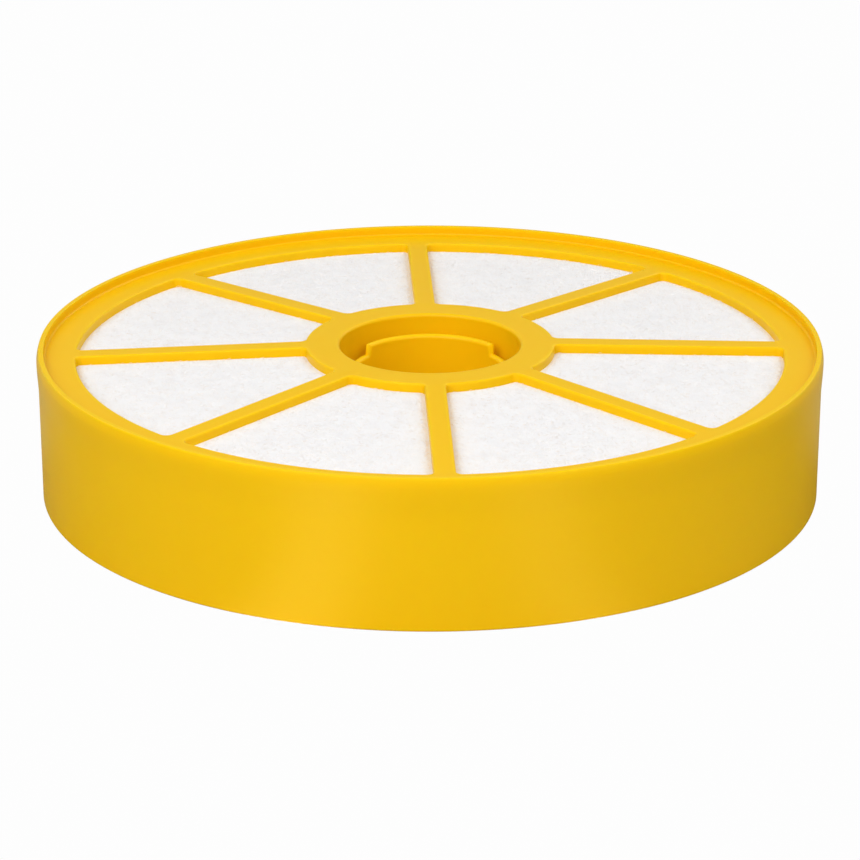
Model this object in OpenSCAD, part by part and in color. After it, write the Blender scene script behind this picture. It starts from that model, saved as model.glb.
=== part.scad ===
// Round pleated cartridge filter with a central bore.
// Millimetres. The axis is Z, the shell stands on Z = 0 and its spoked face looks up.
// One spoke of the face lies along +Y, and the collar's tongue is centred behind it.

/* [Shell] */
// Diameter over the rim at the top
rim_d = 185; // [160:0.5:220]
// Height from the foot to the top of the lip
shell_h = 35.8; // [26:0.1:50]
// How much further out the wall stands at the foot than at the top
draft = 0.6; // [0:0.1:4]
// Thickness of the outer wall
wall_t = 1.8; // [1.2:0.1:2.6]
// Height of the lip above the flat ring
lip_h = 2.3; // [1.6:0.1:3.5]
// Thickness of the lip
lip_t = 1.3; // [1:0.1:2.2]
// How far the rim's bead stands out of the wall
rim_bead = 0.2; // [0:0.05:0.6]
// Height of the rim's bead
rim_bead_h = 1.1; // [0.9:0.1:2]

/* [Face] */
// Thickness of the face and its spokes
face_t = 2.2; // [1.2:0.1:3.5]
// Width of the flat ring inside the lip
ring_w = 7.5; // [5:0.1:14]
// Number of spokes
spoke_n = 8; // [4:1:12]
// How much higher the hub stands than the flat ring, because the spokes rise to it
dome = 1.6; // [0.4:0.1:2.4]
// Width of a spoke
spoke_w = 4.9; // [3:0.1:7]
// Radius in the corners of the windows
corner_r = 1.6; // [0.5:0.1:3]

/* [Hub] */
// Diameter of the bore in the face
bore_d = 42.8; // [36:0.1:56]
// Width of the ring around the bore
hub_w = 8.1; // [6.5:0.1:14]
// Thickness of the skirt that goes down from the bore
skirt_t = 1.6; // [1.2:0.1:2.4]

/* [Collar and tongue] */
// Gap between the wall of the bore and the collar
collar_gap = 2.3; // [1:0.1:4]
// Thickness of the collar
collar_t = 1.5; // [1.1:0.1:2.5]
// Depth of the collar's edge below the hub's face
collar_drop = 6.6; // [3:0.1:9]
// Height of the tongue above the collar's edge
tongue_rise = 2.5; // [0.6:0.1:3.4]
// Arc that the tongue takes up, in degrees
tongue_span = 110; // [40:1:170]

/* [Base grille] */
// Thickness of the base grille
base_t = 3; // [1.8:0.1:4.5]
// Height of the grille above the shell's foot
base_rise = 0.8; // [0.3:0.1:2]
// Height of the wide foot of the collar, which locates in the skirt
spigot_h = 8.5; // [4:0.1:10]
// Gap all round between the grille and the shell
fit_gap = 0.3; // [0.15:0.05:0.6]

/* [Filter media] */
// Thickness of the fleece under the flat ring. It fills the room up to the domed face.
fleece_t = 3; // [1.5:0.1:5]
// Distance from one fold to the next
pleat_pitch = 4.8; // [3.8:0.1:7]
// Thickness of the paper
paper_t = 0.45; // [0.3:0.05:0.7]
// Radius of a fold, to the middle of the paper
fold_r = 0.7; // [0.5:0.05:0.9]

/* [Spacer beads] */
// Number of bead rows on each side of the paper
row_n = 6; // [3:1:9]
// Width of a bead
bead_w = 1.6; // [1:0.1:3]
// Depth that a bead reaches into the folds
bead_depth = 4; // [2:0.1:6]
// Height that a bead stands proud of the folds
bead_proud = 0.3; // [0.2:0.05:0.6]

/* [Sealant] */
// Width of the sealant along the outer wall
rim_seal_w = 4.4; // [2:0.1:6]
// Width of the sealant along the skirt
hub_seal_w = 3.6; // [2:0.1:4.6]

/* [Rounded edges] */
// Radius of the rim's outer edge
rim_round = 0.45; // [0.2:0.05:0.5]
// Radius of the lip's inner edge
lip_round = 0.35; // [0.15:0.05:0.45]
// Radius in the corner between the lip and the face
cove_r = 1; // [0.4:0.1:1.1]
// Radius of the bore's upper edge
bore_round = 0.8; // [0.3:0.1:1.1]
// Radius of the foot's outer edge
foot_round = 0.5; // [0.2:0.1:0.9]
// Radius of the collar's and the tongue's edges
collar_round = 0.4; // [0.2:0.05:0.5]

/* [Hidden] */
$fn = 128;

shell_color = [0.95, 0.72, 0.11];
fleece_color = [0.95, 0.95, 0.94];
paper_color = [0.93, 0.91, 0.84];
sealant_color = [0.88, 0.86, 0.78];

// Hairline between pieces that are bonded to each other
bond_gap = 0.05;
// Overrun of a cutting body
over = 1;
// Straight steps in a quarter of a rounded edge, and in the tip of a fold
round_steps = 5;
fold_steps = 3;

// Shell and face
rim_r = rim_d / 2;
lip_in_r = rim_r - lip_t;
face_z = shell_h - lip_h;
under_z = face_z - face_t;
hub_z = face_z + dome;
hub_under_z = hub_z - face_t;
ring_r = lip_in_r - ring_w;
rim_bead_z = shell_h - rim_bead_h;

// Hub, collar and grille
bore_r = bore_d / 2;
hub_r = bore_r + hub_w;
skirt_r = bore_r + skirt_t;
collar_r = bore_r - collar_gap;
tube_r = collar_r - collar_t;
collar_z = hub_z - collar_drop;
tongue_z = collar_z + tongue_rise;
base_top = base_rise + base_t;
spigot_r = bore_r - fit_gap;
spigot_z = base_top + spigot_h;
shoulder_h = spigot_r - collar_r;

// Media: the fleece lies under the face, and the paper's beads touch fleece and grille
fleece_z = under_z - fleece_t;
pack_r = wall_in_r(under_z) - rim_seal_w;
pack_in_r = skirt_r + hub_seal_w;
fold_top = fleece_z - bead_proud - paper_t / 2 - fold_r;
fold_low = base_top + bead_proud + paper_t / 2 + fold_r;
fold_lean = atan2(pleat_pitch / 2, fold_top - fold_low);
fold_span = norm([pleat_pitch / 2, fold_top - fold_low]);
// Angle above the level at which a flank leaves the tip of its fold
flank_a = fold_lean - 90 + acos(2 * fold_r / fold_span);
fold_n = ceil(pack_r / pleat_pitch) + 1;
row_step = 2 * pack_r / row_n;

// Radius of the wall's outer and inner face at a height
function wall_out_r(z) = rim_r - rim_bead + draft * (1 - z / shell_h);
function wall_in_r(z) = wall_out_r(z) - wall_t;

// Points of an arc about a centre, from one angle to another
function arc(centre, r, from, to, steps = round_steps) =
    [for (i = [0 : steps])
        let (a = from + (to - from) * i / steps)
        centre + r * [cos(a), sin(a)]];

// A line of points whose first and last step run straight on, so that it cuts right through
function run_through(points) =
    let (last = len(points) - 1)
    concat([3 * points[0] - 2 * points[1]],
           [for (i = [1 : last - 1]) points[i]],
           [3 * points[last] - 2 * points[last - 1]]);

function flat(lists) = [for (list = lists) each list];
function backwards(points) = [for (i = [len(points) - 1 : -1 : 0]) points[i]];

// Tip of an upper and of a lower fold, with the side of the paper given by its radius
function upper_tip(x, r) = arc([x, fold_top], r, 180 - flank_a, flank_a, fold_steps);
function lower_tip(x, r) = arc([x, fold_low], r, 180 + flank_a, 360 - flank_a, fold_steps);

// One side of the whole folded sheet, from left to right
function paper_side(upper_r, lower_r) =
    flat([for (i = [-fold_n : fold_n])
        concat(upper_tip(i * pleat_pitch, upper_r),
               lower_tip((i + 0.5) * pleat_pitch, lower_r))]);

// Point at a height on the line between two points
function at_height(p, q, z) = p + (q - p) * (z - p[1]) / (q[1] - p[1]);

// Prism that fills one corner of a window, beside the spoke that lies along +X.
// side is -1 at the outer ring, where the round lies inside the ring's circle, and 1 at the hub.
module corner(r, side, z, h) {
    mid_y = spoke_w / 2 + corner_r;
    mid_x = sqrt(pow(r + side * corner_r, 2) - mid_y * mid_y);
    lean = atan2(mid_y, mid_x);
    end_a = side < 0 ? lean : lean - 180;
    translate([0, 0, z])
        linear_extrude(h)
            polygon(concat(run_through(arc([mid_x, mid_y], corner_r, -90, end_a)),
                           [[r - side * over, spoke_w / 2 - over]]));
}

// Body of one window, between the spoke along +X and the next one
module window(z, h) {
    half_a = 180 / spoke_n;
    apex = spoke_w / 2 / sin(half_a) * [cos(half_a), sin(half_a)];
    reach = 2 * ring_r;
    difference() {
        intersection() {
            translate([0, 0, z])
                cylinder(r = ring_r, h = h);
            translate([0, 0, z])
                linear_extrude(h)
                    polygon([apex, apex + [reach, 0],
                             apex + reach * [cos(2 * half_a), sin(2 * half_a)]]);
        }
        translate([0, 0, z - over])
            cylinder(r = hub_r, h = h + 2 * over);
        window_corners(z - over, h + 2 * over);
        rotate(2 * half_a)
            mirror([0, 1, 0])
                window_corners(z - over, h + 2 * over);
    }
}

module window_corners(z, h) {
    corner(ring_r, -1, z, h);
    corner(hub_r, 1, z, h);
}

// All windows of a face, with one spoke along +Y
module windows(z, h) {
    for (i = [0 : spoke_n - 1])
        rotate(90 + i * 360 / spoke_n)
            window(z, h);
}

// Upper moulding: wall, lip, flat ring, spokes that rise to the hub, and the skirt of the bore
module shell() {
    color(shell_color)
        difference() {
            rotate_extrude()
                polygon(concat(
                    [[wall_in_r(0), 0]],
                    arc([wall_out_r(0) - foot_round, foot_round], foot_round, -90, 0),
                    [[wall_out_r(rim_bead_z), rim_bead_z]],
                    arc([rim_r - rim_round, shell_h - rim_round], rim_round, 0, 90),
                    arc([lip_in_r + lip_round, shell_h - lip_round], lip_round, 90, 180),
                    arc([lip_in_r - cove_r, face_z + cove_r], cove_r, 0, -90),
                    [[ring_r, face_z], [hub_r, hub_z]],
                    arc([bore_r + bore_round, hub_z - bore_round], bore_round, 90, 180),
                    [[bore_r, base_top], [skirt_r, base_top], [skirt_r, hub_under_z],
                     [hub_r, hub_under_z], [ring_r, under_z],
                     [wall_in_r(under_z), under_z]]));
            windows(under_z - over, face_t + dome + 2 * over);
        }
}

// Rounded upper edge of the tube at a height, from its outer to its inner face
function tube_edge(z) =
    concat(arc([collar_r - collar_round, z - collar_round], collar_round, 0, 90),
           arc([tube_r + collar_round, z - collar_round], collar_round, 90, 180));

// Lower moulding: flat grille, and a stepped tube whose upper stage is the collar.
// The tube is as high as the tongue, and is cut down to the collar's edge beside it.
module base_grille() {
    color(shell_color)
        difference() {
            rotate_extrude()
                polygon(concat(
                    arc([spigot_r - collar_t + collar_round, base_rise + collar_round],
                        collar_round, -180, -90),
                    [[wall_in_r(base_rise) - fit_gap, base_rise],
                     [wall_in_r(base_top) - fit_gap, base_top],
                     [spigot_r, base_top],
                     [spigot_r, spigot_z],
                     [collar_r, spigot_z + shoulder_h]],
                    tube_edge(tongue_z),
                    [[tube_r, spigot_z + shoulder_h - collar_t / 2],
                     [spigot_r - collar_t, spigot_z - collar_t / 2]]));
            windows(base_rise - over, base_t + 2 * over);
            beside_tongue();
        }
}

// What is cut away above the collar's edge, round to both ends of the tongue
module beside_tongue() {
    edge = run_through(tube_edge(collar_z));
    last = edge[len(edge) - 1];
    rotate(90 + tongue_span / 2)
        rotate_extrude(angle = 360 - tongue_span)
            polygon(concat([[collar_r + over, edge[0][1]]],
                           edge,
                           [[tube_r - over, last[1]],
                            [tube_r - over, tongue_z + over],
                            [collar_r + over, tongue_z + over]]));
}

// Soft ring that lies on the folds, under the face
module fleece_pad() {
    color(fleece_color)
        rotate_extrude()
            polygon([[skirt_r + fit_gap, fleece_z], [wall_in_r(fleece_z) - fit_gap, fleece_z],
                     [wall_in_r(under_z) - fit_gap, under_z], [ring_r, under_z],
                     [hub_r, hub_under_z], [skirt_r + fit_gap, hub_under_z]]);
}

// Room between the two sealant rings that the folded sheet is trimmed to
module pack_ring() {
    difference() {
        cylinder(r = pack_r - bond_gap, h = shell_h);
        translate([0, 0, -over])
            cylinder(r = pack_in_r + bond_gap, h = shell_h + 2 * over);
    }
}

// An outline in X and Z, drawn out along Y about a given place
module along_y(y, w) {
    translate([0, y + w / 2, 0])
        rotate([90, 0, 0])
            linear_extrude(w)
                children();
}

// One sheet of paper in parallel folds that run along Y
module pleated_paper() {
    outer = fold_r + paper_t / 2;
    inner = fold_r - paper_t / 2;
    color(paper_color)
        intersection() {
            along_y(0, 2 * pack_r)
                polygon(concat(paper_side(outer, inner), backwards(paper_side(inner, outer))));
            pack_ring();
        }
}

// Outline of a row of beads below the paper: its teeth reach up between the folds
module bead_outline() {
    outer = fold_r + paper_t / 2;
    inner = fold_r - paper_t / 2;
    half = pleat_pitch / 2;
    top = base_top + bead_depth;
    tip = lower_tip(0, outer);
    flank = at_height(tip[fold_steps], upper_tip(half, inner)[0], top);
    side = [flank[0], 0];
    polygon(concat(
        flat([for (i = [-fold_n : fold_n - 1])
            let (mid = [(i + 0.5) * pleat_pitch, 0])
            concat([mid + flank - 2 * side], [for (p = tip) mid + p], [mid + flank])]),
        [[(fold_n - 0.5) * pleat_pitch + flank[0], base_top],
         [(0.5 - fold_n) * pleat_pitch - flank[0], base_top]]));
}

module bead_rows() {
    intersection() {
        for (i = [0 : row_n - 1])
            along_y((i - (row_n - 1) / 2) * row_step, bead_w)
                bead_outline();
        pack_ring();
    }
}

// Rows of hot-melt beads that keep the folds apart on the grille's side
module lower_spacer_beads() {
    color(sealant_color)
        bead_rows();
}

// The same rows on the fleece's side, half a fold further along
module upper_spacer_beads() {
    color(sealant_color)
        intersection() {
            translate([pleat_pitch / 2, 0, base_top + fleece_z])
                mirror([0, 0, 1])
                    for (i = [0 : row_n - 1])
                        along_y((i - (row_n - 1) / 2) * row_step, bead_w)
                            bead_outline();
            pack_ring();
        }
}

// Ring that bonds the sheet's outer edge to the wall
module rim_sealant() {
    color(sealant_color)
        rotate_extrude()
            polygon([[pack_r, base_top], [wall_in_r(base_top) - bond_gap, base_top],
                     [wall_in_r(fleece_z) - bond_gap, fleece_z], [pack_r, fleece_z]]);
}

// Ring that bonds the sheet's inner edge to the skirt
module hub_sealant() {
    color(sealant_color)
        rotate_extrude()
            polygon([[skirt_r + bond_gap, base_top], [pack_in_r, base_top],
                     [pack_in_r, fleece_z], [skirt_r + bond_gap, fleece_z]]);
}

shell();
base_grille();
fleece_pad();
pleated_paper();
upper_spacer_beads();
lower_spacer_beads();
rim_sealant();
hub_sealant();
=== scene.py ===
import math

import bmesh
import bpy
import numpy as np
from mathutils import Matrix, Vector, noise


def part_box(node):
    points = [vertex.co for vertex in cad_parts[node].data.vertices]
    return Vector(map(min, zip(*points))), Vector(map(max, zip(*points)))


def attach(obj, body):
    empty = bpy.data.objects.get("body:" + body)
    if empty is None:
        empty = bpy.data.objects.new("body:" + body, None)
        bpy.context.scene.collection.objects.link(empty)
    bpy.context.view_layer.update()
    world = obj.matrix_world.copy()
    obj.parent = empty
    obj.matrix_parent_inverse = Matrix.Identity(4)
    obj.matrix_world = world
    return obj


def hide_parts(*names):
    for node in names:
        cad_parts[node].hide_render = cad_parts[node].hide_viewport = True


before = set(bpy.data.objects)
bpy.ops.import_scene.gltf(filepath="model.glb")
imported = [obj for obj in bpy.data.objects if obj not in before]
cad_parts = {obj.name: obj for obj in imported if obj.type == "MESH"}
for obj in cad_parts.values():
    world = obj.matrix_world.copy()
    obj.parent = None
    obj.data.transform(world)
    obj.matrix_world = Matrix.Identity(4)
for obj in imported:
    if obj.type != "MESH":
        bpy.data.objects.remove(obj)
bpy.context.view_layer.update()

# Camera
# It stands in front of the filter and looks down on it, turned two degrees so that one
# spoke points almost at it. A long lens keeps the round shell from swelling at the front.
MM = 0.001
camera_away = 851.3 * MM
camera_height = 324.7 * MM
camera_turn = math.radians(-2.27)
camera_pitch = math.radians(20.109)
camera_lens = 158.88

camera_data = bpy.data.cameras.new("camera")
camera_data.lens = camera_lens
camera_data.sensor_width = 36.0
camera_data.clip_start = 0.01
camera_data.clip_end = 20.0
camera = bpy.data.objects.new("camera", camera_data)
camera.location = (camera_away * math.sin(camera_turn), -camera_away * math.cos(camera_turn),
                   camera_height)
camera.rotation_euler = (math.pi / 2 - camera_pitch, 0.0, camera_turn)
bpy.context.scene.collection.objects.link(camera)
bpy.context.scene.camera = camera

# Shell
# One injection moulding in satin yellow plastic: tall outer wall that is almost upright, raised
# lip, flat ring inside it, eight spokes that rise to the hub, and the skirt below the bore.
shell_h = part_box("shell")[1].z
rim_r = 92.5 * MM
rim_bead = 0.3 * MM
rim_bead_h = 10.0 * MM
wall_out = 0.1 * MM
foot_in = 0.25 * MM
wall_t = 1.8 * MM
lip_h = 2.3 * MM
lip_t = 1.3 * MM
face_t = 2.2 * MM
ring_w = 7.5 * MM
dome = 1.6 * MM
spoke_n = 8
spoke_w = 4.9 * MM
corner_r = 1.6 * MM
bore_r = 21.4 * MM
hub_w = 8.1 * MM
skirt_t = 1.6 * MM
rim_round = 0.25 * MM
rim_slow_round = 6.5 * MM
rim_slow_below = math.radians(22)
lip_round = 0.18 * MM
cove_r = 0.6 * MM
bore_round = 0.8 * MM
foot_round = 0.5 * MM
edge_round = 0.42 * MM
merge_gap = 0.001 * MM
skirt_foot = 3.0 * MM
skirt_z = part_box("base_grille")[0].z + skirt_foot

lip_in_r = rim_r - lip_t
face_z = shell_h - lip_h
under_z = face_z - face_t
hub_z = face_z + dome
hub_under_z = hub_z - face_t
ring_r = rim_r - lip_t - ring_w
hub_r = bore_r + hub_w
skirt_r = bore_r + skirt_t
cell_a = 2 * math.pi / spoke_n
half_a = cell_a / 2


def wall_out_r(z):
    """The wall's outer radius at a height, a little less at the foot than at the rim."""
    return rim_r + wall_out - foot_in * (1 - z / shell_h)


def wall_in_r(z):
    return wall_out_r(z) - wall_t


def rise(r):
    """How much higher the domed face is at a radius than at its flat ring."""
    return dome * min(1.0, max(0.0, (ring_r - r) / (ring_r - hub_r)))


def level(r):
    """The same for a flat face."""
    return 0.0


def arc(x, y, r, start, end, steps):
    """Points of an arc about (x, y), with its ends, from one angle in degrees to another."""
    turn = np.radians(np.linspace(start, end, steps + 1))
    return [(x + r * math.cos(a), y + r * math.sin(a)) for a in turn]


class Moulding:
    """Points and faces of one moulding, made from rows of points. Rows that meet are merged."""

    def __init__(self):
        self.points = []
        self.faces = []

    def rows(self, rows):
        """Joins closed rows of as many points, each to the next, by strips of faces."""
        for row_a, row_b in zip(rows, rows[1:]):
            start = len(self.points)
            count = len(row_a)
            self.points += [*row_a, *row_b]
            for i in range(count):
                j = (i + 1) % count
                self.faces.append((start + i, start + j, start + count + j, start + count + i))

    def build(self, name, sharp_above=38):
        """The closed mesh as an object, smooth but for its sharp edges."""
        mesh = bpy.data.meshes.new(name)
        mesh.from_pydata(self.points, [], self.faces)
        edit = bmesh.new()
        edit.from_mesh(mesh)
        bmesh.ops.remove_doubles(edit, verts=edit.verts, dist=merge_gap)
        bmesh.ops.recalc_face_normals(edit, faces=edit.faces)
        edit.to_mesh(mesh)
        edit.free()
        mesh.shade_smooth()
        mesh.set_sharp_from_angle(angle=math.radians(sharp_above))
        made = bpy.data.objects.new(name, mesh)
        bpy.context.scene.collection.objects.link(made)
        flatten = made.modifiers.new("even shading", "WEIGHTED_NORMAL")
        flatten.keep_sharp = True
        flatten.weight = 100
        return made


# Where the rounds in a window's corners touch the ring and the hub, as seen from the axis
corner_y = spoke_w / 2 + corner_r
outer_x = math.sqrt((ring_r - corner_r) ** 2 - corner_y ** 2)
inner_x = math.sqrt((hub_r + corner_r) ** 2 - corner_y ** 2)
outer_lean = math.atan2(corner_y, outer_x)
inner_lean = math.atan2(corner_y, inner_x)
corner_steps = 16
line_steps = 14
ring_steps = 20
hub_steps = 12
# The tongue ends ten degrees from a spoke, so the hub has close steps there
tongue_end = math.radians(10)
tongue_step = math.radians(0.45)
ring_turns = np.linspace(outer_lean, half_a, ring_steps + 1)
hub_turns = np.array(sorted(list(np.linspace(inner_lean, half_a, hub_steps + 1))
                            + [tongue_end + k * tongue_step for k in range(-4, 12)]))


def on_circle(r, turns):
    return [(r * math.cos(a), r * math.sin(a)) for a in turns]


def window_half(grow):
    """Half a window's outline beside the spoke along +X, from the hub's middle to the ring's."""
    edge_y = spoke_w / 2 - grow
    line = [(x, edge_y) for x in np.linspace(inner_x, outer_x, line_steps + 1)]
    return (on_circle(hub_r - grow, hub_turns[::-1])
            + arc(inner_x, corner_y, corner_r + grow, math.degrees(inner_lean) - 180, -90,
                  corner_steps)[1:]
            + line[1:]
            + arc(outer_x, corner_y, corner_r + grow, -90, math.degrees(outer_lean),
                  corner_steps)[1:]
            + on_circle(ring_r + grow, ring_turns)[1:])


def cell_half(low_r, high_r):
    """The same number of points round the cell: circle, middle of the spoke, circle."""
    half_steps = corner_steps // 2 + 1
    return (on_circle(low_r, hub_turns[::-1])
            + on_circle(low_r, np.linspace(inner_lean, 0, half_steps))[1:]
            + [(x, 0.0) for x in np.linspace(low_r, inner_x, half_steps)][1:]
            + [(x, 0.0) for x in np.linspace(inner_x, outer_x, line_steps + 1)][1:]
            + [(x, 0.0) for x in np.linspace(outer_x, high_r, half_steps)][1:]
            + on_circle(high_r, np.linspace(0, outer_lean, half_steps))[1:]
            + on_circle(high_r, ring_turns)[1:])


def whole(half, cell, z, lift):
    """A half outline and its mirror image, turned into its cell and raised to its heights."""
    mirrored = [(x * math.cos(cell_a) + y * math.sin(cell_a),
                 x * math.sin(cell_a) - y * math.cos(cell_a)) for x, y in half[-2:0:-1]]
    turn = math.pi / 2 + cell * cell_a
    c, s = math.cos(turn), math.sin(turn)
    return [(x * c - y * s, x * s + y * c, z + lift(math.hypot(x, y))) for x, y in half + mirrored]


def full_turn(turns, lean):
    """All angles round the axis at which a circle of the cells has points."""
    first = list(np.linspace(0, lean, corner_steps // 2 + 1))[:-1] + list(turns)
    cell = first + [cell_a - a for a in first[-2:0:-1]]
    return [math.pi / 2 + i * cell_a + a for i in range(spoke_n) for a in cell]


def lathe(moulding, profile, turns):
    """Turns a profile round the axis. A profile's height may be a function of the angle."""
    rings = []
    for r, z in profile:
        rings.append([(r * math.cos(a), r * math.sin(a), z(a) if callable(z) else z)
                      for a in turns])
    moulding.rows(rings)


def spoked_face(moulding, near, far, near_radii, far_radii, lift):
    """A face with its windows, from the rounded side at height near to the plain one."""
    away = 1 if near > far else -1
    for cell in range(spoke_n):
        loops = [whole(cell_half(*near_radii), cell, near, lift)]
        for lean in np.radians([0, 22.5, 45, 67.5, 90]):
            grow = edge_round * (1 - math.sin(lean))
            drop = edge_round * (1 - math.cos(lean))
            loops.append(whole(window_half(grow), cell, near - away * drop, lift))
        loops.append(whole(window_half(0), cell, far, lift))
        loops.append(whole(cell_half(*far_radii), cell, far, lift))
        moulding.rows(loops)


ring_circle = full_turn(ring_turns, outer_lean)
hub_circle = full_turn(hub_turns, inner_lean)

# The rim's outer edge turns down in a small round and then a slow one, swells a little, and
# runs out into the wall
rim_steps = 30
bead_steps = 8
rim_edge = [(0.0, shell_h)]
rim_leans = np.radians(np.linspace(90, 0, rim_steps + 1))
for lean, next_lean in zip(rim_leans, rim_leans[1:]):
    turned = lean - next_lean
    middle = (lean + next_lean) / 2
    radius = rim_round if middle > rim_slow_below else rim_slow_round
    x, z = rim_edge[-1]
    rim_edge.append((x + radius * math.sin(middle) * turned, z - radius * math.cos(middle) * turned))
rim_widest, rim_widest_z = rim_edge[-1]
rim_shift = wall_out_r(rim_widest_z) + rim_bead - rim_widest
rim_edge = [(x + rim_shift, z) for x, z in rim_edge]
rim_foot = []
for share in np.linspace(0, 1, bead_steps + 1)[1:]:
    z = rim_widest_z - share * (rim_widest_z - shell_h + rim_bead_h)
    rim_foot.append((wall_out_r(z) + rim_bead * (1 + math.cos(math.pi * share)) / 2, z))

shell_mesh = Moulding()
spoked_face(shell_mesh, face_z, under_z,
            (bore_r + bore_round, lip_in_r - cove_r), (skirt_r, wall_in_r(under_z)), rise)
lathe(shell_mesh,
      arc(lip_in_r - cove_r, face_z + cove_r, cove_r, -90, 0, 8)
      + arc(lip_in_r + lip_round, shell_h - lip_round, lip_round, 180, 90, 6)
      + rim_edge
      + rim_foot
      + arc(wall_out_r(0) - foot_round, foot_round, foot_round, 0, -90, 6)
      + [(wall_in_r(0), 0.0), (wall_in_r(under_z), under_z)],
      ring_circle)
lathe(shell_mesh,
      arc(bore_r + bore_round, hub_z - bore_round, bore_round, 90, 180, 8)
      + [(bore_r, skirt_z), (skirt_r, skirt_z), (skirt_r, hub_under_z)],
      hub_circle)
shell = shell_mesh.build("shell_moulding")
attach(shell, "root")
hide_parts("shell")


def group(name, inputs, outputs):
    """A shader node group with named sockets, and its input and output nodes."""
    tree = bpy.data.node_groups.new(name, "ShaderNodeTree")
    for label, kind, value in inputs:
        socket = tree.interface.new_socket(label, in_out="INPUT", socket_type=kind)
        socket.default_value = value
    for label, kind in outputs:
        tree.interface.new_socket(label, in_out="OUTPUT", socket_type=kind)
    return tree, tree.nodes.new("NodeGroupInput"), tree.nodes.new("NodeGroupOutput")


def add(tree, kind, **settings):
    """A node of a kind, with its settings. A setting that names a socket sets its value."""
    made = tree.nodes.new(kind)
    for label, value in settings.items():
        if hasattr(made, label):
            setattr(made, label, value)
        else:
            made.inputs[label.replace("_", " ")].default_value = value
    return made


def join(tree, source, target):
    tree.links.new(source, target)


# Surface of a moulding: slow ripples from the mould, a fine spark-eroded grain, and clouds in
# which colour and gloss change a little. It gives a height for bump and a mask for the clouds.
skin, skin_in, skin_out = group(
    "moulded skin",
    [("Ripple", "NodeSocketFloat", 0.3), ("Grain", "NodeSocketFloat", 0.1)],
    [("Height", "NodeSocketFloat"), ("Cloud", "NodeSocketFloat")])
skin_place = add(skin, "ShaderNodeTexCoord")
skin_ripple = add(skin, "ShaderNodeTexNoise", Scale=70.0, Detail=2.0, Roughness=0.5)
skin_grain = add(skin, "ShaderNodeTexNoise", Scale=3200.0, Detail=2.0, Roughness=0.6)
skin_cloud = add(skin, "ShaderNodeTexNoise", Scale=45.0, Detail=3.0, Roughness=0.55)
skin_a = add(skin, "ShaderNodeMath", operation="MULTIPLY")
skin_b = add(skin, "ShaderNodeMath", operation="MULTIPLY_ADD")
for texture in (skin_ripple, skin_grain, skin_cloud):
    join(skin, skin_place.outputs["Object"], texture.inputs["Vector"])
join(skin, skin_ripple.outputs["Fac"], skin_a.inputs[0])
join(skin, skin_in.outputs["Ripple"], skin_a.inputs[1])
join(skin, skin_grain.outputs["Fac"], skin_b.inputs[0])
join(skin, skin_in.outputs["Grain"], skin_b.inputs[1])
join(skin, skin_a.outputs[0], skin_b.inputs[2])
join(skin, skin_b.outputs[0], skin_out.inputs["Height"])
join(skin, skin_cloud.outputs["Fac"], skin_out.inputs["Cloud"])


# Painted shade and bounce light in narrow places, which light reaches only off the plastic beside
# them, and which it leaves deeper in colour. The mask is full in a tight corner and nothing on open
# surfaces.
painted_hollow, painted_hollow_in, painted_hollow_out = group(
    "painted hollow shade and bounce",
    [("Distance", "NodeSocketFloat", 0.002), ("Open", "NodeSocketFloat", 0.9),
     ("Shut", "NodeSocketFloat", 0.4)],
    [("Mask", "NodeSocketFloat")])
painted_hollow_sky = add(painted_hollow, "ShaderNodeAmbientOcclusion", samples=6)
painted_hollow_range = add(painted_hollow, "ShaderNodeMapRange")
join(painted_hollow, painted_hollow_in.outputs["Distance"], painted_hollow_sky.inputs["Distance"])
join(painted_hollow, painted_hollow_sky.outputs["AO"], painted_hollow_range.inputs["Value"])
join(painted_hollow, painted_hollow_in.outputs["Open"], painted_hollow_range.inputs["From Min"])
join(painted_hollow, painted_hollow_in.outputs["Shut"], painted_hollow_range.inputs["From Max"])
join(painted_hollow, painted_hollow_range.outputs["Result"], painted_hollow_out.inputs["Mask"])


def material(name, colour, rough):
    """A plain material and its shader, to which the finish is joined."""
    made = bpy.data.materials.new(name)
    made.use_nodes = True
    shader = made.node_tree.nodes["Principled BSDF"]
    shader.inputs["Base Color"].default_value = (*colour, 1.0)
    shader.inputs["Roughness"].default_value = rough
    return made, made.node_tree, shader


def placed(tree, made_group, **values):
    """A node group placed in a material, with its own values."""
    made = tree.nodes.new("ShaderNodeGroup")
    made.node_tree = made_group
    for label, value in values.items():
        made.inputs[label].default_value = value
    return made


yellow = (0.97, 0.573, 0.002)
yellow_deep = (0.96, 0.552, 0.002)
yellow_painted_shade = (0.935, 0.535, 0.0)
yellow_painted_glow = (1.0, 0.645, 0.003)
satin = 0.3
duller_satin = 0.42
thin_t = 1.4 * MM
thick_share = 0.92
thin_share = 0.45
plastic, plastic_tree, plastic_shader = material("yellow plastic", yellow, satin)
plastic_skin = placed(plastic_tree, skin, Ripple=0.5, Grain=0.03)
plastic_bump = add(plastic_tree, "ShaderNodeBump", Strength=0.25, Distance=0.0002)
plastic_tint = add(plastic_tree, "ShaderNodeMix", data_type="RGBA")
plastic_tint.inputs["A"].default_value = (*yellow, 1.0)
plastic_tint.inputs["B"].default_value = (*yellow_deep, 1.0)
plastic_gloss = add(plastic_tree, "ShaderNodeMapRange")
plastic_gloss.inputs["To Min"].default_value = satin
plastic_gloss.inputs["To Max"].default_value = duller_satin
join(plastic_tree, plastic_skin.outputs["Height"], plastic_bump.inputs["Height"])
join(plastic_tree, plastic_bump.outputs["Normal"], plastic_shader.inputs["Normal"])
join(plastic_tree, plastic_skin.outputs["Cloud"], plastic_tint.inputs["Factor"])
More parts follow.
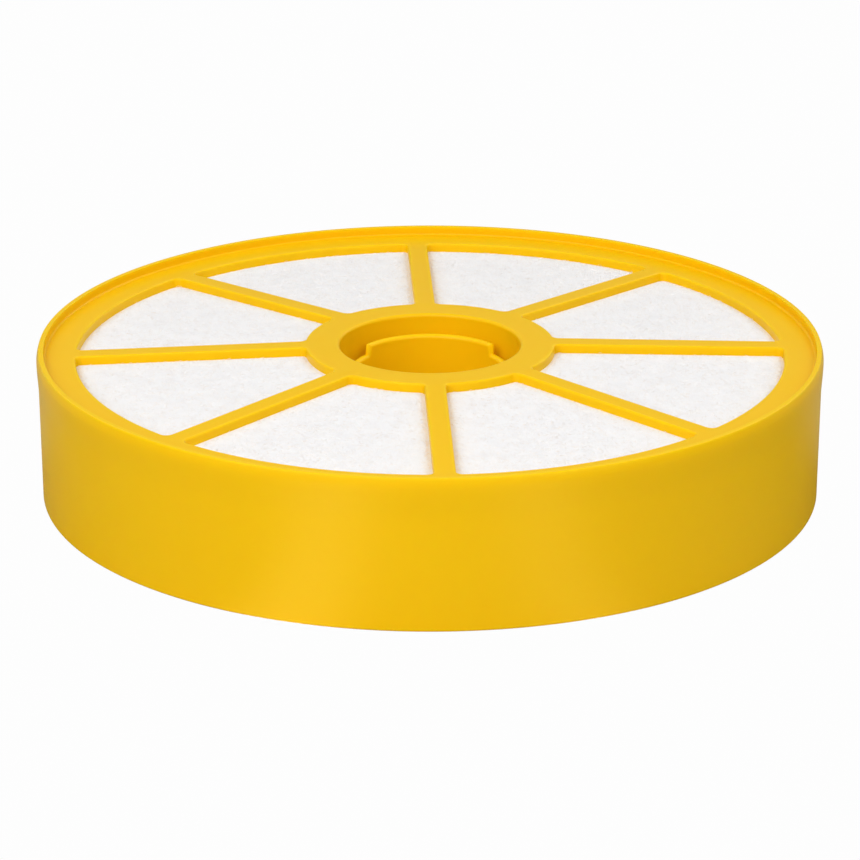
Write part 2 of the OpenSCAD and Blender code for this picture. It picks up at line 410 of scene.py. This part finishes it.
# Painted shade: in tight corners the plastic's colour is mixed towards a deeper yellow.
plastic_painted_shade = placed(plastic_tree, painted_hollow, Distance=0.0018, Open=0.95, Shut=0.35)
plastic_painted_shade_mix = add(plastic_tree, "ShaderNodeMix", data_type="RGBA")
plastic_painted_shade_mix.inputs["B"].default_value = (*yellow_painted_shade, 1.0)
join(plastic_tree, plastic_painted_shade.outputs["Mask"], plastic_painted_shade_mix.inputs["Factor"])
# The lip and the edges are thin enough for light to come through them; that light is painted in as a
# lighter colour. How much plastic lies behind a place is measured from inside it.
plastic_core = add(plastic_tree, "ShaderNodeAmbientOcclusion", inside=True, samples=8)
plastic_core.inputs["Distance"].default_value = thin_t
plastic_glow_mask = add(plastic_tree, "ShaderNodeMapRange")
plastic_glow_mask.inputs["From Min"].default_value = thick_share
plastic_glow_mask.inputs["From Max"].default_value = thin_share
plastic_painted_glow = add(plastic_tree, "ShaderNodeMix", data_type="RGBA")
plastic_painted_glow.inputs["B"].default_value = (*yellow_painted_glow, 1.0)
join(plastic_tree, plastic_core.outputs["AO"], plastic_glow_mask.inputs["Value"])
join(plastic_tree, plastic_glow_mask.outputs["Result"], plastic_painted_glow.inputs["Factor"])
join(plastic_tree, plastic_tint.outputs["Result"], plastic_painted_glow.inputs["A"])
join(plastic_tree, plastic_painted_glow.outputs["Result"], plastic_painted_shade_mix.inputs["A"])
join(plastic_tree, plastic_painted_shade_mix.outputs["Result"], plastic_shader.inputs["Base Color"])
join(plastic_tree, plastic_skin.outputs["Cloud"], plastic_gloss.inputs["Value"])
join(plastic_tree, plastic_gloss.outputs["Result"], plastic_shader.inputs["Roughness"])
plastic_shader.inputs["Specular IOR Level"].default_value = 0.12
plastic_shader.inputs["Subsurface Weight"].default_value = 0.25
plastic_shader.inputs["Subsurface Radius"].default_value = (1.0, 0.55, 0.05)
plastic_shader.inputs["Subsurface Scale"].default_value = 1.5 * MM
shell.data.materials.append(plastic)

# Fleece
# A ring of off-white needled fibre, three millimetres thick, laid on the folds and held down
# by the spokes. It swells a little into the windows, and its surface is loose and uneven.
fleece_t = 3.0 * MM
fleece_gap = 0.3 * MM
fleece_in_r = skirt_r + fleece_gap
fleece_out_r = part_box("fleece_pad")[1].x
fleece_rings = 120
fleece_columns = 660
fleece_below = 0.02 * MM
swell = 0.28 * MM
swell_width = 1.6 * MM
wave_scale = 120
wave_share = 0.35
tuft = 0.10 * MM
tuft_scale = 620


def inside_window(x, y):
    """How far a place lies inside the nearest window, or less than nothing under plastic."""
    r = math.hypot(x, y)
    a = (math.atan2(y, x) - math.pi / 2) % cell_a
    a = min(a, cell_a - a)
    return min(ring_r - r, r - hub_r, r * math.sin(a) - spoke_w / 2)


def fleece_z(x, y):
    """The fleece's height at a place: flat under the plastic, swollen and rough in a window."""
    under = under_z + rise(math.hypot(x, y)) - fleece_below
    depth = inside_window(x, y)
    if depth <= 0:
        return under
    share = min(1.0, depth / swell_width)
    share = share * share * (3 - 2 * share)
    wave = noise.noise((x * wave_scale, y * wave_scale, 3.0))
    rough = noise.fractal((x * tuft_scale, y * tuft_scale, 7.0), 0.7, 2.1, 3)
    return under + share * (swell * (1 + wave_share * wave) + tuft * rough)


fleece_mesh = Moulding()
fleece_turns = np.linspace(0, 2 * math.pi, fleece_columns, endpoint=False)
fleece_radii = np.linspace(fleece_in_r, fleece_out_r, fleece_rings)
fleece_rows = [[(fleece_in_r * math.cos(a), fleece_in_r * math.sin(a), under_z - fleece_t)
                for a in fleece_turns]]
for r in fleece_radii:
    row = [(r * math.cos(a), r * math.sin(a)) for a in fleece_turns]
    fleece_rows.append([(x, y, fleece_z(x, y)) for x, y in row])
fleece_rows.append([(fleece_out_r * math.cos(a), fleece_out_r * math.sin(a), under_z - fleece_t)
                    for a in fleece_turns])
fleece_rows.append(fleece_rows[0])
fleece_mesh.rows(fleece_rows)
fleece = fleece_mesh.build("fleece", 60)
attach(fleece, "root")
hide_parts("fleece_pad")


# Loose fibre in a sheet: ridged noise at three scales, which reads as fine crossing hairs.
# It gives a height for bump and a mask for the shade between the hairs.
fibre, fibre_in, fibre_out = group(
    "fibre web",
    [("Scale", "NodeSocketFloat", 900.0)],
    [("Height", "NodeSocketFloat"), ("Shade", "NodeSocketFloat")])
fibre_place = add(fibre, "ShaderNodeTexCoord")
fibre_sum = None
for turn, size, share in ((0.3, 1.0, 0.5), (1.4, 1.7, 0.3), (2.5, 0.55, 0.35)):
    spin = add(fibre, "ShaderNodeMapping")
    spin.inputs["Rotation"].default_value = (0.0, 0.0, turn)
    spin.inputs["Scale"].default_value = (1.0, 4.0, 1.0)
    scale = add(fibre, "ShaderNodeMath", operation="MULTIPLY")
    scale.inputs[1].default_value = size
    hairs = add(fibre, "ShaderNodeTexNoise", Detail=2.0, Roughness=0.5, Distortion=0.6)
    ridge = add(fibre, "ShaderNodeMath", operation="PINGPONG")
    ridge.inputs[1].default_value = 0.5
    weigh = add(fibre, "ShaderNodeMath", operation="MULTIPLY_ADD")
    weigh.inputs[1].default_value = share
    weigh.inputs[2].default_value = 0.0
    join(fibre, fibre_place.outputs["Object"], spin.inputs["Vector"])
    join(fibre, spin.outputs["Vector"], hairs.inputs["Vector"])
    join(fibre, fibre_in.outputs["Scale"], scale.inputs[0])
    join(fibre, scale.outputs[0], hairs.inputs["Scale"])
    join(fibre, hairs.outputs["Fac"], ridge.inputs[0])
    join(fibre, ridge.outputs[0], weigh.inputs[0])
    if fibre_sum:
        join(fibre, fibre_sum.outputs[0], weigh.inputs[2])
    fibre_sum = weigh
fibre_soft = add(fibre, "ShaderNodeTexNoise", Detail=3.0, Roughness=0.6)
fibre_slow = add(fibre, "ShaderNodeMath", operation="MULTIPLY")
fibre_slow.inputs[1].default_value = 0.3
join(fibre, fibre_place.outputs["Object"], fibre_soft.inputs["Vector"])
join(fibre, fibre_in.outputs["Scale"], fibre_slow.inputs[0])
join(fibre, fibre_slow.outputs[0], fibre_soft.inputs["Scale"])
join(fibre, fibre_sum.outputs[0], fibre_out.inputs["Height"])
join(fibre, fibre_soft.outputs["Fac"], fibre_out.inputs["Shade"])

white = (0.84, 0.835, 0.84)
white_low = (0.87, 0.868, 0.885)
white_high = (0.98, 0.98, 0.99)
white_painted_bounce = (0.9, 0.74, 0.56)
wool, wool_tree, wool_shader = material("off-white fibre", white, 0.95)
wool_web = placed(wool_tree, fibre, Scale=850.0)
wool_bump = add(wool_tree, "ShaderNodeBump", Strength=0.6, Distance=0.0003)
wool_tint = add(wool_tree, "ShaderNodeMix", data_type="RGBA")
wool_tint.inputs["A"].default_value = (*white_low, 1.0)
wool_tint.inputs["B"].default_value = (*white_high, 1.0)
join(wool_tree, wool_web.outputs["Height"], wool_bump.inputs["Height"])
join(wool_tree, wool_bump.outputs["Normal"], wool_shader.inputs["Normal"])
join(wool_tree, wool_web.outputs["Shade"], wool_tint.inputs["Factor"])
# Close beside the plastic the fibre is painted warmer and darker: painted bounce light and painted
# shade from the plastic.
wool_painted_hollow = placed(wool_tree, painted_hollow, Distance=0.003, Open=0.52, Shut=0.12)
wool_painted_bounce = add(wool_tree, "ShaderNodeMix", data_type="RGBA")
wool_painted_bounce.inputs["B"].default_value = (*white_painted_bounce, 1.0)
join(wool_tree, wool_painted_hollow.outputs["Mask"], wool_painted_bounce.inputs["Factor"])
join(wool_tree, wool_tint.outputs["Result"], wool_painted_bounce.inputs["A"])
join(wool_tree, wool_painted_bounce.outputs["Result"], wool_shader.inputs["Base Color"])
wool_shader.inputs["Sheen Weight"].default_value = 0.3
wool_shader.inputs["Sheen Roughness"].default_value = 0.6
wool_shader.inputs["Specular IOR Level"].default_value = 0.2
fleece.data.materials.append(wool)

# Single fibres that stand a little off the surface, as thin three-sided hairs with pointed ends.
# Most lie close to it, and those beside the plastic stand up along its sides.
fibre_count = 5200
fibre_short = 0.7
fibre_long = 2.2
fibre_bend = 0.6
fibre_ridge = 1.4
fibre_thick = 0.03 * MM
fibre_lift = 0.10 * MM
fibre_stand = 0.34 * MM
fibre_side = 0.8 * MM
fibre_edge = 0.05 * MM
draw = np.random.default_rng(11)


def depth_inside(x, y):
    """The same as inside_window, for arrays of places."""
    r = np.hypot(x, y)
    a = (np.arctan2(y, x) - math.pi / 2) % cell_a
    a = np.minimum(a, cell_a - a)
    return np.minimum(np.minimum(ring_r - r, r - hub_r), r * np.sin(a) - spoke_w / 2)


def loose_fibres(cell):
    """The hairs in one window. Each is two tips and two small triangles between them."""
    count = fibre_count * 2
    r = np.sqrt(draw.uniform(hub_r ** 2, ring_r ** 2, count))
    turn = math.pi / 2 + (cell + draw.uniform(0, 1, count)) * cell_a
    heading = draw.uniform(0, 2 * math.pi, count)
    bend = draw.normal(0, fibre_bend, count)
    length = draw.uniform(fibre_short, fibre_long, count) * MM
    x, y = r * np.cos(turn), r * np.sin(turn)
    path = [(x, y)]
    for step in range(3):
        x = x + np.cos(heading) * length / 3
        y = y + np.sin(heading) * length / 3
        heading = heading + bend
        path.append((x, y))
    inside = np.all([depth_inside(px, py) > fibre_edge for px, py in path], axis=0)
    kept = np.flatnonzero(inside)[:fibre_count]
    depth = depth_inside(*path[1])
    beside = np.clip(1 - depth / fibre_side, 0, 1)
    lift = (fibre_lift + fibre_stand * beside) * draw.uniform(0.1, 1.0, count)
    thick = fibre_thick * draw.uniform(0.6, 1.3, count)
    points = []
    faces = []
    for i in kept:
        base = len(points)
        places = [(px[i], py[i], fleece_z(px[i], py[i])) for px, py in path]
        points.append(places[0])
        for j in (1, 2):
            px, py, pz = places[j]
            ax, ay = places[j + 1][0] - places[j - 1][0], places[j + 1][1] - places[j - 1][1]
            far = math.hypot(ax, ay)
            sx, sy = -ay / far * thick[i], ax / far * thick[i]
            points.append((px + sx, py + sy, pz + lift[i]))
            points.append((px - sx, py - sy, pz + lift[i]))
            points.append((px, py, pz + lift[i] + fibre_ridge * thick[i]))
        points.append(places[3])
        for k in range(3):
            n = (k + 1) % 3
            faces.append((base, base + 1 + n, base + 1 + k))
            faces.append((base + 1 + k, base + 1 + n, base + 4 + n, base + 4 + k))
            faces.append((base + 4 + k, base + 4 + n, base + 7))
    mesh = bpy.data.meshes.new("loose_fibres")
    mesh.from_pydata(points, [], faces)
    made = bpy.data.objects.new(f"loose_fibres_{cell + 1}", mesh)
    bpy.context.scene.collection.objects.link(made)
    made.data.materials.append(wool)
    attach(made, "root")
    return made


fibres = [loose_fibres(cell) for cell in range(spoke_n)]

# Folded paper
# One sheet of glass-fibre filter paper in parallel folds. Its cut edge is bonded to the wall
# and the skirt. It is seen through the grille from below.
paper_white = (0.82, 0.8, 0.74)
paper_low = (0.78, 0.76, 0.69)
paper_high = (0.86, 0.845, 0.79)
paper, paper_tree, paper_shader = material("filter paper", paper_white, 0.85)
paper_web = placed(paper_tree, fibre, Scale=900.0)
paper_bump = add(paper_tree, "ShaderNodeBump", Strength=0.3, Distance=0.0001)
paper_tint = add(paper_tree, "ShaderNodeMix", data_type="RGBA")
paper_tint.inputs["A"].default_value = (*paper_low, 1.0)
paper_tint.inputs["B"].default_value = (*paper_high, 1.0)
join(paper_tree, paper_web.outputs["Height"], paper_bump.inputs["Height"])
join(paper_tree, paper_bump.outputs["Normal"], paper_shader.inputs["Normal"])
join(paper_tree, paper_web.outputs["Shade"], paper_tint.inputs["Factor"])
join(paper_tree, paper_tint.outputs["Result"], paper_shader.inputs["Base Color"])


def dress(node, finish):
    """Gives a carried-over CAD node its finish."""
    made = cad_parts[node]
    made.data.materials.clear()
    made.data.materials.append(finish)


dress("pleated_paper", paper)

# Spacer beads
# Thin rows of milky hot-melt glue laid across the folds on both sides, which keep them apart.
melt, melt_tree, melt_shader = material("hot melt", (0.80, 0.77, 0.66), 0.35)
melt_skin = placed(melt_tree, skin, Ripple=1.0, Grain=0.0)
melt_bump = add(melt_tree, "ShaderNodeBump", Strength=0.4, Distance=0.0003)
join(melt_tree, melt_skin.outputs["Height"], melt_bump.inputs["Height"])
join(melt_tree, melt_bump.outputs["Normal"], melt_shader.inputs["Normal"])
for node in ("upper_spacer_beads", "lower_spacer_beads"):
    dress(node, melt)

# Sealant
# Two rings of foamed sealant, poured in place, that bond the paper's cut edges to the wall and
# the skirt.
foam, foam_tree, foam_shader = material("foamed sealant", (0.74, 0.70, 0.58), 0.7)
foam_web = placed(foam_tree, fibre, Scale=500.0)
foam_bump = add(foam_tree, "ShaderNodeBump", Strength=0.4, Distance=0.0003)
join(foam_tree, foam_web.outputs["Height"], foam_bump.inputs["Height"])
join(foam_tree, foam_bump.outputs["Normal"], foam_shader.inputs["Normal"])
for node in ("rim_sealant", "hub_sealant"):
    dress(node, foam)

# Base grille
# Second moulding in the same plastic, set into the foot of the shell. A stepped tube rises from
# its middle: its foot locates in the skirt, and its free edge is the collar with the tongue.
base_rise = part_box("base_grille")[0].z
base_t = 3.0 * MM
base_top = base_rise + base_t
fit_gap = 0.3 * MM
spigot_h = 8.5 * MM
collar_gap = 2.3 * MM
collar_t = 1.5 * MM
collar_drop = 6.6 * MM
tongue_rise = 2.5 * MM
tongue_half = math.radians(55)
tongue_turn = math.radians(-2)
tongue_lean = 0.08
tongue_foot = 1.1 * MM
tongue_top = 0.5 * MM
collar_round_out = 0.5 * MM
collar_round_in = 0.95 * MM

collar_r = bore_r - collar_gap
tube_r = collar_r - collar_t
spigot_r = bore_r - fit_gap
spigot_in_r = spigot_r - collar_t
spigot_z = base_top + spigot_h
shoulder_z = spigot_z + spigot_r - collar_r
collar_z = hub_z - collar_drop


def smooth_max(a, b, soft):
    """The larger of two heights, with a round of about that size where they cross."""
    share = max(0.0, soft - abs(a - b)) / soft
    return max(a, b) + share * share * soft / 4


def tongue_height(a, inset):
    """How far the edge stands above the collar's: steep drafted ends, rounded above and below."""
    from_middle = a - math.pi / 2 - tongue_turn
    past = abs((from_middle + math.pi) % (2 * math.pi) - math.pi) - tongue_half
    past += inset / collar_r
    end = -past * collar_r / tongue_lean
    return -smooth_max(-smooth_max(end, 0.0, tongue_foot), -tongue_rise, tongue_top)


def edge_height(below):
    """Height of the tube's edge at an angle, less a drop, which also rounds the tongue's ends."""
    def height(a):
        return collar_z + tongue_height(a, below) - below
    return height


grille_mesh = Moulding()
spoked_face(grille_mesh, base_rise, base_top,
            (spigot_in_r + edge_round, wall_in_r(base_rise) - fit_gap - edge_round),
            (spigot_r, wall_in_r(base_top) - fit_gap), level)
lathe(grille_mesh,
      arc(wall_in_r(base_rise) - fit_gap - edge_round, base_rise + edge_round, edge_round,
          -90, 0, 4)
      + [(wall_in_r(base_top) - fit_gap, base_top)],
      ring_circle)
tube_profile = [(spigot_r, base_top), (spigot_r, spigot_z), (collar_r, shoulder_z)]
for x, y in arc(collar_r - collar_round_out, 0.0, collar_round_out, 0, 90, 5):
    tube_profile.append((x, edge_height(collar_round_out - y)))
for x, y in arc(tube_r + collar_round_in, 0.0, collar_round_in, 90, 180, 7):
    tube_profile.append((x, edge_height(collar_round_in - y)))
tube_profile += [(tube_r, shoulder_z - collar_t / 2), (spigot_in_r, spigot_z - collar_t / 2)]
tube_profile += arc(spigot_in_r + edge_round, base_rise + edge_round, edge_round, 180, 270, 5)
lathe(grille_mesh, tube_profile, hub_circle)
grille = grille_mesh.build("base_grille_moulding")
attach(grille, "root")
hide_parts("base_grille")
grille.data.materials.append(plastic)

# Floor, backdrop and light
# A plain white table in a white room, with five square soft lamps: one over the camera, two at
# the front's sides, of which the left one is the strongest, and two behind.
white_seen = 0.985
white_mirrored = 0.42
table_mirrored = 0.06
room_light = 0.0
table_white = 0.62

floor_mesh = bpy.data.meshes.new("floor")
floor_size = 6.0
floor_mesh.from_pydata([(-floor_size, -floor_size, 0), (floor_size, -floor_size, 0),
                        (floor_size, floor_size, 0), (-floor_size, floor_size, 0)],
                       [], [(0, 1, 2, 3)])
floor = bpy.data.objects.new("floor", floor_mesh)
bpy.context.scene.collection.objects.link(floor)

world = bpy.data.worlds.new("white room")
bpy.context.scene.world = world
world.use_nodes = True
table_top, table_tree, table_shader = material("white table", (table_white,) * 3, 1.0)
table_shader.inputs["Specular IOR Level"].default_value = 0.0


def by_ray(tree, kind, lit, target):
    """One brightness for the eye, one for mirror images, and another source for all else.
    The socket for the brightness of mirror images is handed back."""
    path = add(tree, "ShaderNodeLightPath")
    last = lit
    strengths = []
    for ray, strength in (("Is Glossy Ray", white_mirrored), ("Is Camera Ray", white_seen)):
        glow = add(tree, kind, Color=(1.0, 1.0, 1.0, 1.0), Strength=strength)
        mix = add(tree, "ShaderNodeMixShader")
        join(tree, path.outputs[ray], mix.inputs["Fac"])
        join(tree, last, mix.inputs[1])
        join(tree, glow.outputs[0], mix.inputs[2])
        last = mix.outputs[0]
        strengths.append(glow.inputs["Strength"])
    join(tree, last, target)
    return strengths[0]


mirrored = by_ray(table_tree, "ShaderNodeEmission", table_shader.outputs[0],
                  table_tree.nodes["Material Output"].inputs["Surface"])

# Pools of light are painted on the table, seen only in mirror images, where the lamps at the front's
# sides would pool their light, and the wall mirrors these painted pools as two soft upright bands.
# Past its sides the table is painted a little lighter too, which the ends of the wall mirror. Each
# share of that painted light has its turn from the camera's side, in degrees.
painted_pool_half = 14.0
painted_pool_bright = 6.2
side_share = 0.02
edge_share = 0.055
painted_pools = ((-19.5, 1.0), (22.0, 0.55))
between = ((-108, edge_share), (-55, 0.0), (55, 0.0), (88, 0.0), (110, edge_share))
round_place = add(table_tree, "ShaderNodeTexCoord")
round_turn = add(table_tree, "ShaderNodeTexGradient", gradient_type="RADIAL")
round_ramp = add(table_tree, "ShaderNodeValToRGB")
round_ramp.color_ramp.interpolation = "EASE"
for stop in round_ramp.color_ramp.elements:
    stop.color = (side_share, side_share, side_share, 1.0)


def paint_light_round(turn, share):
    """A share of the painted light at a turn. The gradient's first quarter ends in front of the
    filter.
    """
    place = 0.25 + (camera_turn + math.radians(turn)) / (2 * math.pi)
    made = round_ramp.color_ramp.elements.new(place % 1.0)
    made.color = (share, share, share, 1.0)


for turn, share in painted_pools:
    paint_light_round(turn - painted_pool_half, 0.0)
    paint_light_round(turn, share)
    paint_light_round(turn + painted_pool_half, 0.0)
for turn, share in between:
    paint_light_round(turn, share)
round_sum = add(table_tree, "ShaderNodeMath", operation="MULTIPLY_ADD")
round_sum.inputs[1].default_value = painted_pool_bright
round_sum.inputs[2].default_value = table_mirrored
join(table_tree, round_place.outputs["Object"], round_turn.inputs["Vector"])
join(table_tree, round_turn.outputs["Fac"], round_ramp.inputs["Fac"])
join(table_tree, round_ramp.outputs["Color"], round_sum.inputs[0])
join(table_tree, round_sum.outputs[0], mirrored)
floor.data.materials.append(table_top)
world_light = world.node_tree.nodes["Background"]
world_light.inputs["Color"].default_value = (1.0, 1.0, 1.0, 1.0)
world_light.inputs["Strength"].default_value = room_light
by_ray(world.node_tree, "ShaderNodeBackground", world_light.outputs[0],
       world.node_tree.nodes["World Output"].inputs["Surface"])


def lamp(name, turn, height, away, size, power):
    """A square soft lamp that faces the filter, turned about it from the camera's side."""
    data = bpy.data.lights.new(name, "AREA")
    data.shape = "SQUARE"
    data.size = size
    data.energy = power
    made = bpy.data.objects.new(name, data)
    side = camera_turn + math.radians(turn)
    made.location = (away * math.sin(side), -away * math.cos(side), height)
    made.rotation_euler = (math.atan2(away, height), 0.0, side)
    bpy.context.scene.collection.objects.link(made)


# Each lamp's turn in degrees, its height, distance and size in metres, and its power in watts
lamp("lamp front", 0, 0.9, 0.8, 1.1, 6.3)
lamp("lamp front left", -42, 0.8, 0.95, 1.1, 8.4)
lamp("lamp front right", 42, 0.6, 1.0, 0.8, 2.6)
lamp("lamp back left", -125, 0.8, 0.9, 1.1, 2.9)
lamp("lamp back right", 125, 0.8, 0.9, 1.1, 6.1)

bpy.context.scene.view_settings.view_transform = "Standard"
